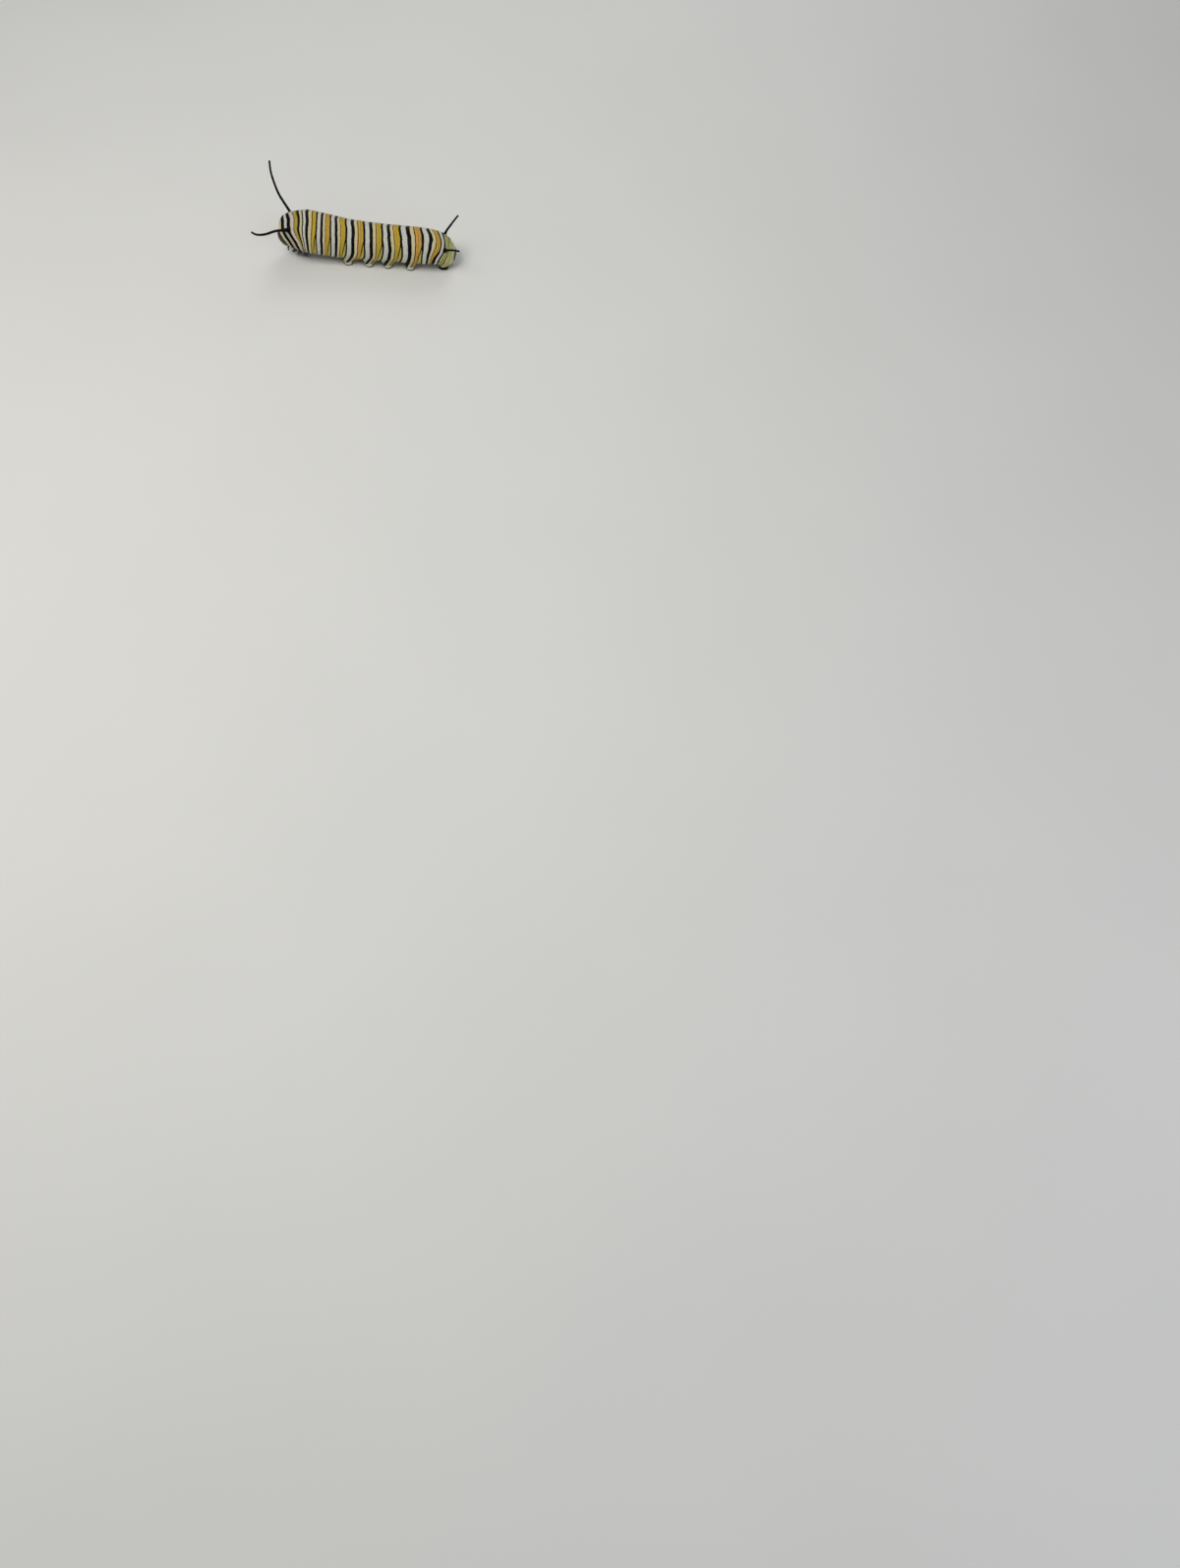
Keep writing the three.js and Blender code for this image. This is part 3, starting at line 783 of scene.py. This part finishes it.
FILAMENTS = {
    "filament_front_left": ([
        (-10.9, -2.6, 7.1), (-11.3, -3.1, 7.4), (-12.8, -5.2, 8.6), (-14.1, -7.6, 9.6),
        (-14.95, -9.6, 11.0), (-15.2, -11.0, 12.6),
    ], 0.35, 0.22),
    "filament_front_right": ([
        (-11.7, 2.4, 6.1), (-12.2, 3.0, 7.0), (-13.1, 3.6, 8.25), (-14.1, 4.3, 9.7),
        (-14.7, 4.8, 11.9), (-14.9, 5.0, 14.2), (-14.6, 5.0, 16.75),
    ], 0.35, 0.22),
    "filament_rear_left": ([
        (20.4, -1.7, 4.5), (21.05, -2.2, 4.95), (22.6, -3.15, 5.95), (24.5, -4.2, 6.7),
    ], 0.29, 0.2),
    "filament_rear_right": ([
        (20.1, 1.4, 5.2), (20.4, 1.8, 5.9), (21.7, 2.4, 7.6), (23.3, 2.7, 9.6),
    ], 0.29, 0.2),
}
FILAMENT_RINGS = 60
TIP_RINGS = 8
FILAMENT_SLIMNESS = 0.9  # leaves room inside the radii for the wrinkles
FLARE = 0.4  # how much wider the root stands
FLARE_LENGTH = 1.1  # mm


def curve_through(points):
    data = bpy.data.curves.new("route", "CURVE")
    data.dimensions = "3D"
    data.resolution_u = 24
    spline = data.splines.new("BEZIER")
    spline.bezier_points.add(len(points) - 1)
    for knot, point in zip(spline.bezier_points, points):
        knot.co = point
        knot.handle_left_type = knot.handle_right_type = "AUTO"
    curve = bpy.data.objects.new("route", data)
    bpy.context.collection.objects.link(curve)
    bpy.context.view_layer.update()
    return curve


def straight_stalk(name, stations, sides):
    """A stalk along +X: stations are (distance, radius); rings are extruded one by one."""
    start, radius = stations[0]
    bpy.ops.mesh.primitive_circle_add(
        vertices=sides, radius=radius, fill_type="NGON", location=(start, 0, 0),
        rotation=(0, math.pi / 2, 0),
    )
    stalk = named(name)
    bpy.ops.object.transform_apply(location=True, rotation=True, scale=True)
    edit(stalk)
    bpy.ops.mesh.select_mode(type="FACE")
    for (x0, r0), (x1, r1) in zip(stations, stations[1:]):
        bpy.ops.mesh.extrude_region_move(TRANSFORM_OT_translate={"value": (x1 - x0, 0, 0)})
        ratio = r1 / r0
        bpy.ops.transform.resize(value=(1, ratio, ratio), center_override=(x1, 0, 0))
    bpy.ops.mesh.select_all(action="SELECT")
    bpy.ops.mesh.normals_make_consistent(inside=False)
    done()
    return stalk


def bend_along(stalk, curve):
    """Lays a stalk along the curve and clears the curve away."""
    bend = stalk.modifiers.new("bend", "CURVE")
    bend.object = curve
    bend.deform_axis = "POS_X"
    apply(stalk, bend)
    bpy.data.objects.remove(curve)


def make_filament(node, material):
    path, root, tip = FILAMENTS[node]
    curve = curve_through([Vector(p) for p in path])
    length = curve.data.splines[0].calc_length()
    stations = []
    for k in range(FILAMENT_RINGS):
        u = k / FILAMENT_RINGS * (1 - tip / length)
        wrinkle = 1 + 0.035 * math.sin(k * 2.4) + 0.02 * math.sin(k * 5.1 + 1)
        wrinkle += FLARE * math.exp(-((u * length / FLARE_LENGTH) ** 4))
        radius = (root + (tip - root) * u ** 0.6) * FILAMENT_SLIMNESS * wrinkle
        stations.append((u * length, radius))
    for k in range(TIP_RINGS):
        turn = math.pi / 2 * k / TIP_RINGS
        radius = tip * FILAMENT_SLIMNESS * math.cos(turn) + 0.002
        stations.append((length - tip + tip * math.sin(turn), radius))
    filament = straight_stalk(node + "_skin", stations, 20)
    bend_along(filament, curve)
    return place(filament, material, "skin_black", node)


# Head, in its own axes: X out of the face, Y to the larva's left, Z to the crown

HEAD_AT = Vector((-12.75, 0, 3.65))
TUCK = math.radians(46)  # how far the face is turned down
HEAD_SIZE = (1.75, 2.05, 2.1)  # half depth, half width, half height
# Simple eyes of one side: degrees round from the middle of the face, degrees below its middle
STEMMATA = [(52, 4), (44, 12), (40, 22), (43, 33), (52, 40), (60, 22)]
EYE_SINK = 0.985  # share of the capsule's radius at which the centre of an eye lies
EYE_RADIUS = 0.13

# Distance and radius along a palp and along a feeler, each ring of the pair
PALP = [
    (0, 0.17), (0.12, 0.19), (0.24, 0.17), (0.26, 0.13), (0.4, 0.14), (0.5, 0.12), (0.52, 0.08),
    (0.62, 0.085), (0.72, 0.06), (0.76, 0.02),
]
FEELER = [
    (-0.5, 0.2), (0.0, 0.24), (0.06, 0.3), (0.2, 0.31), (0.3, 0.27), (0.32, 0.2), (0.4, 0.215),
    (0.6, 0.21), (0.8, 0.2), (0.86, 0.17), (0.88, 0.12), (1.0, 0.13), (1.15, 0.12),
]
FEELER_TIP = [(0.06, 0.1), (0.015, 0.06), (0, 0.02)]  # distance back from the very tip, radius


def head_matrix():
    """From the head's own axes to the larva's."""
    c, s = math.cos(TUCK), math.sin(TUCK)
    turn = Matrix(((-c, 0, -s), (0, -1, 0), (-s, 0, c))).transposed().to_4x4()
    return Matrix.Translation(HEAD_AT) @ turn


def capsule_radius(x, y, z):
    """Shape of the capsule over a ball: two lobes, a sunken frons and the sutures round it."""
    front = smoothstep(x, 0.0, 0.35)
    lobes = 0.1 * np.exp(-((y / 0.16) ** 2)) * smoothstep(z, -0.1, 0.9)
    crown_line = 0.02 * np.exp(-((y / 0.025) ** 2)) * smoothstep(z, 0.3, 0.45)
    edge = np.abs(y) - 0.45 * (0.4 - z)
    open_low = 1 - smoothstep(z, 0.38, 0.46)
    frons = 0.035 * (1 - smoothstep(edge, -0.12, 0.0)) * open_low * front
    frons_line = 0.025 * np.exp(-((edge / 0.03) ** 2)) * open_low * front
    lip_line = 0.03 * np.exp(-(((z + 0.62) / 0.03) ** 2)) * (np.abs(y) < 0.6) * front
    chin = 0.1 * smoothstep(-z, 0.55, 1.0)
    cheek = 0.035 * np.exp(-(((np.abs(y) - 0.72) / 0.2) ** 2 + ((z + 0.3) / 0.3) ** 2)) * front
    return 1 - lobes - crown_line - frons - frons_line - lip_line - chin + cheek


def on_capsule(round_face, below, share):
    """The point of the capsule in the given direction, at that share of its radius."""
    x = math.cos(round_face) * math.cos(below)
    y = math.sin(round_face) * math.cos(below)
    z = -math.sin(below)
    r = float(capsule_radius(np.array(x), np.array(y), np.array(z))) * share
    return Vector((x * r * HEAD_SIZE[0], y * r * HEAD_SIZE[1], z * r * HEAD_SIZE[2]))


def arch_of(x, y, z):
    """Rises from the mouth outwards in arches that peak at the middle; all high on the back."""
    arch = np.hypot(y / 0.62, (z + 0.75) / 1.25) - 0.06 * np.exp(-((y / 0.22) ** 2))
    return np.where(x > 0, arch, np.maximum(arch, 1.45)) / 2


def make_head(material):
    bpy.ops.mesh.primitive_uv_sphere_add(segments=112, ring_count=80, radius=1)
    head = named("head_capsule")
    ball = corners(head.data)
    x, y, z = ball.T.astype(float)
    move_corners(head.data, ball * capsule_radius(x, y, z)[:, None] * np.array(HEAD_SIZE))
    store(head, "arch", arch_of(x, y, z))
    head.data.transform(head_matrix())
    return place(head, material, "head_shell", "head")


def dome(at, size, name):
    """A smooth ball of the given half sizes, set at a point."""
    bpy.ops.mesh.primitive_uv_sphere_add(segments=28, ring_count=18, radius=1, location=at)
    ball = named(name)
    ball.scale = size
    bpy.ops.object.transform_apply(location=True, rotation=True, scale=True)
    return ball


def push(piece, chosen, move, reach):
    """Moves the chosen corners and draws their surroundings along."""
    edit(piece)
    bpy.ops.mesh.select_all(action="DESELECT")
    done()
    for vertex in piece.data.vertices:
        vertex.select = chosen(vertex.co)
    bpy.ops.object.mode_set(mode="EDIT")
    bpy.ops.transform.translate(
        value=move, use_proportional_edit=True, proportional_size=reach,
        proportional_edit_falloff="SMOOTH",
    )
    done()


def joined(pieces, name):
    """Joins pieces into the first of them."""
    bpy.ops.object.select_all(action="DESELECT")
    for piece in pieces:
        piece.select_set(True)
    bpy.context.view_layer.objects.active = pieces[0]
    bpy.ops.object.join()
    return named(name)


def make_eyes(material):
    eyes = []
    for side in (-1, 1):
        for round_face, below in STEMMATA:
            at = on_capsule(math.radians(round_face) * side, math.radians(below), EYE_SINK)
            eyes.append(dome(at, (EYE_RADIUS,) * 3, "stemma"))
    piece = joined(eyes, "stemmata")
    piece.data.transform(head_matrix())
    return place(piece, material, "horn_black")


def pointed(at, direction):
    """Lays what stands along X at a point, pointing in a direction."""
    return Matrix.Translation(at) @ direction.to_track_quat("X", "Z").to_matrix().to_4x4()


def make_mouth(material):
    """Notched upper lip, a pair of jaws and a pair of palps."""
    deep, _, high = HEAD_SIZE
    lip = dome((deep * 0.84, 0, -high * 0.7), (0.34, 0.62, 0.36), "labrum")
    push(lip, lambda co: abs(co.y) < 0.06 and co.z < -high * 0.7 - 0.25, (0, 0, 0.2), 0.25)
    pieces = [lip]
    for side in (-1, 1):
        jaw = dome((deep * 0.62, 0.42 * side, -high * 0.9), (0.5, 0.42, 0.5), "mandible")
        push(jaw, lambda co: co.x > deep * 0.62 + 0.44, (0.1, -0.06 * side, -0.16), 0.3)
        pieces.append(jaw)
        palp = straight_stalk("palp", PALP, 14)
        root = (deep * 0.35, 0.75 * side, -high * 0.86)
        palp.data.transform(pointed(root, Vector((0.55, 0.05 * side, -0.8))))
        pieces.append(palp)
    mouth = joined(pieces, "mouth_parts")
    mouth.data.transform(head_matrix())
    return place(mouth, material, "horn_black")


def make_antenna(side, material):
    root = Vector((0.805, 1.05 * side, -1.0))
    tip = Vector((1.975, 1.3 * side, -1.825))
    length = (tip - root).length
    stations = FEELER + [(length - back, radius) for back, radius in FEELER_TIP]
    feeler = straight_stalk("feeler", stations, 20)
    feeler.data.transform(head_matrix() @ pointed(root, tip - root))
    word = "left" if side > 0 else "right"
    feeler.name = f"feeler_{word}"
    return place(feeler, material, "horn_black", f"antenna_{word}")


# True legs: root, knee and claw on the larva's right side; the left ones mirror them

LEGS = {
    "leg_1": ((-10.6, 1.15, 3.0), (-11.1, 1.95, 1.75), (-11.9, 1.25, 0.95)),
    "leg_2": ((-9.6, 1.25, 2.6), (-10.1, 2.1, 1.5), (-10.95, 1.3, 0.6)),
    "leg_3": ((-8.2, 1.35, 2.4), (-8.85, 2.05, 1.2), (-9.6, 1.15, 0.0)),
}
LEG_RADII = [
    # share of the length, radius: three segments, each narrowed at its joint, then the claw
    (0.0, 0.5), (0.1, 0.56), (0.2, 0.57), (0.3, 0.52), (0.345, 0.44), (0.36, 0.4), (0.38, 0.44),
    (0.42, 0.46), (0.5, 0.45), (0.58, 0.4), (0.63, 0.34), (0.645, 0.29), (0.665, 0.31),
    (0.7, 0.32), (0.76, 0.29), (0.82, 0.25), (0.85, 0.21), (0.86, 0.17), (0.88, 0.165),
    (0.92, 0.14), (0.96, 0.1), (0.99, 0.05), (1.0, 0.015),
]


def make_leg(node, side, material):
    root, knee, claw = (Vector((x, y * side, z)) for x, y, z in LEGS[node])
    hidden = root + (root - knee).normalized() * 0.6
    shin = knee.lerp(claw, 0.45) + Vector((-0.12, 0.12 * side, -0.05))
    hook = claw + Vector((0.0, -0.05 * side, 0.02))
    curve = curve_through([hidden, root, knee, shin, hook])
    length = curve.data.splines[0].calc_length()
    leg = straight_stalk("leg", [(u * length, r) for u, r in LEG_RADII], 24)
    bend_along(leg, curve)
    smooth = leg.modifiers.new("smooth", "SUBSURF")
    smooth.levels = smooth.render_levels = 1
    apply(leg, smooth)
    word = "right" if side > 0 else "left"
    leg.name = f"horn_{node}_{word}"
    return place(leg, material, "horn_black", f"{node}_{word}")


# Breathing holes: place in the banding, share of the way round from back to belly

SPIRACLES = [(0.8, 0.5)] + [(k + 0.375, 0.55) for k in range(3, 11)]
SPIRACLE_SHAPE = (0.72, 1.15, 0.8, 1)  # taller than long


def place_of_band(band, angle):
    """The place along the body where a band crosses an angle, found step by step."""
    t = band
    for _ in range(6):
        t += band - float(pattern(np.array([t]), np.array([angle]))[0][0])
    return t


def make_spiracle(t, angle, side):
    """A round rim with a low lid in it, laid on the skin."""
    bpy.ops.mesh.primitive_torus_add(
        major_segments=28, minor_segments=10, major_radius=0.2, minor_radius=0.05,
    )
    rim = named("spiracle")
    bpy.ops.mesh.primitive_uv_sphere_add(segments=20, ring_count=10, radius=0.18)
    lid = named("lid")
    lid.scale = (1, 1, 0.25)
    bpy.ops.object.transform_apply(scale=True)
    spiracle = joined([rim, lid], "spiracle")

    tailward, around = (Vector(step).normalized() for step in heading(t, angle, 0.02, 0.05))
    outward = tailward.cross(around).normalized()
    if outward.y * side > 0:
        outward = -outward
    turn = Matrix((tailward, outward.cross(tailward), outward)).transposed().to_4x4()
    at = Vector(body_points(np.array([t]), np.array([angle]))[0])
    spiracle.data.transform(Matrix.Translation(at) @ turn @ Matrix.Diagonal(SPIRACLE_SHAPE))
    return spiracle


def make_spiracles(material):
    spiracles = []
    for band, share in SPIRACLES:
        for side in (-1, 1):
            angle = share * math.pi * side
            spiracles.append(make_spiracle(place_of_band(band, angle), angle, side))
    return place(joined(spiracles, "spiracles"), material, "skin_black")


# Stage, in metres

def make_floor():
    """Matt pale paper: no gloss, so that only the soft shadow shows on it."""
    bpy.ops.mesh.primitive_plane_add(size=4, location=(0, 0, 0))
    floor = named("floor")
    material, tree, shader = new_material("matt_pale_paper")
    space = object_space(tree)
    shade = noise(tree, space, 40.0, 2.0)
    colour = mix(tree, shade, hex_colour("#d9dad8"), hex_colour("#dedfdd"))
    tree.links.new(colour, shader.inputs["Base Color"])
    shader.inputs["Roughness"].default_value = 0.8
    floor.data.materials.append(material)


def make_light(name, at, size, power, colour="#ffffff"):
    """A round soft light, turned to the middle of the floor."""
    data = bpy.data.lights.new(name, "AREA")
    data.shape = "DISK"
    data.size = size
    data.energy = power
    data.color = hex_colour(colour)[:3]
    lamp = bpy.data.objects.new(name, data)
    lamp.location = at
    lamp.rotation_mode = "QUATERNION"
    lamp.rotation_quaternion = (-Vector(at)).to_track_quat("-Z", "Y")
    bpy.context.collection.objects.link(lamp)


def make_stage():
    make_floor()
    make_light("key", (-0.10, -0.12, 0.28), 0.22, 0.62, "#fffaf2")
    make_light("fill", (0.25, -0.20, 0.18), 0.25, 0.2, "#f2f6ff")
    make_light("rim", (0.05, 0.28, 0.2), 0.2, 0.25)
    world = bpy.data.worlds.new("studio")
    world.use_nodes = True
    back = world.node_tree.nodes["Background"]
    back.inputs["Color"].default_value = hex_colour("#e6e8ea")
    back.inputs["Strength"].default_value = 0.3
    bpy.context.scene.world = world
    bpy.context.scene.view_settings.view_transform = "Standard"


def make_camera():
    data = bpy.data.cameras.new("camera")
    data.sensor_width = SENSOR
    data.lens = FOCAL_PIXELS * SENSOR / FRAME_LONG_SIDE
    data.clip_start = 0.005
    data.clip_end = 20
    camera = bpy.data.objects.new("camera", data)
    look = CAMERA_LOOK.normalized()
    right = look.cross(CAMERA_UP).normalized()
    up = right.cross(look)
    turn = Matrix((right, up, -look)).transposed()
    camera.rotation_mode = "QUATERNION"
    camera.rotation_quaternion = turn.to_quaternion()
    camera.location = (CAMERA_AT - MIDDLE) * MM
    bpy.context.collection.objects.link(camera)
    bpy.context.scene.camera = camera


make_camera()
make_stage()
make_skin(banded_skin())
stalk_skin = black_skin()
for node in FILAMENTS:
    make_filament(node, stalk_skin)
make_spiracles(stalk_skin)
make_head(head_shell())
horn = black_horn()
make_eyes(horn)
make_mouth(horn)
for side in (-1, 1):
    make_antenna(side, horn)
    for node in LEGS:
        make_leg(node, side, horn)
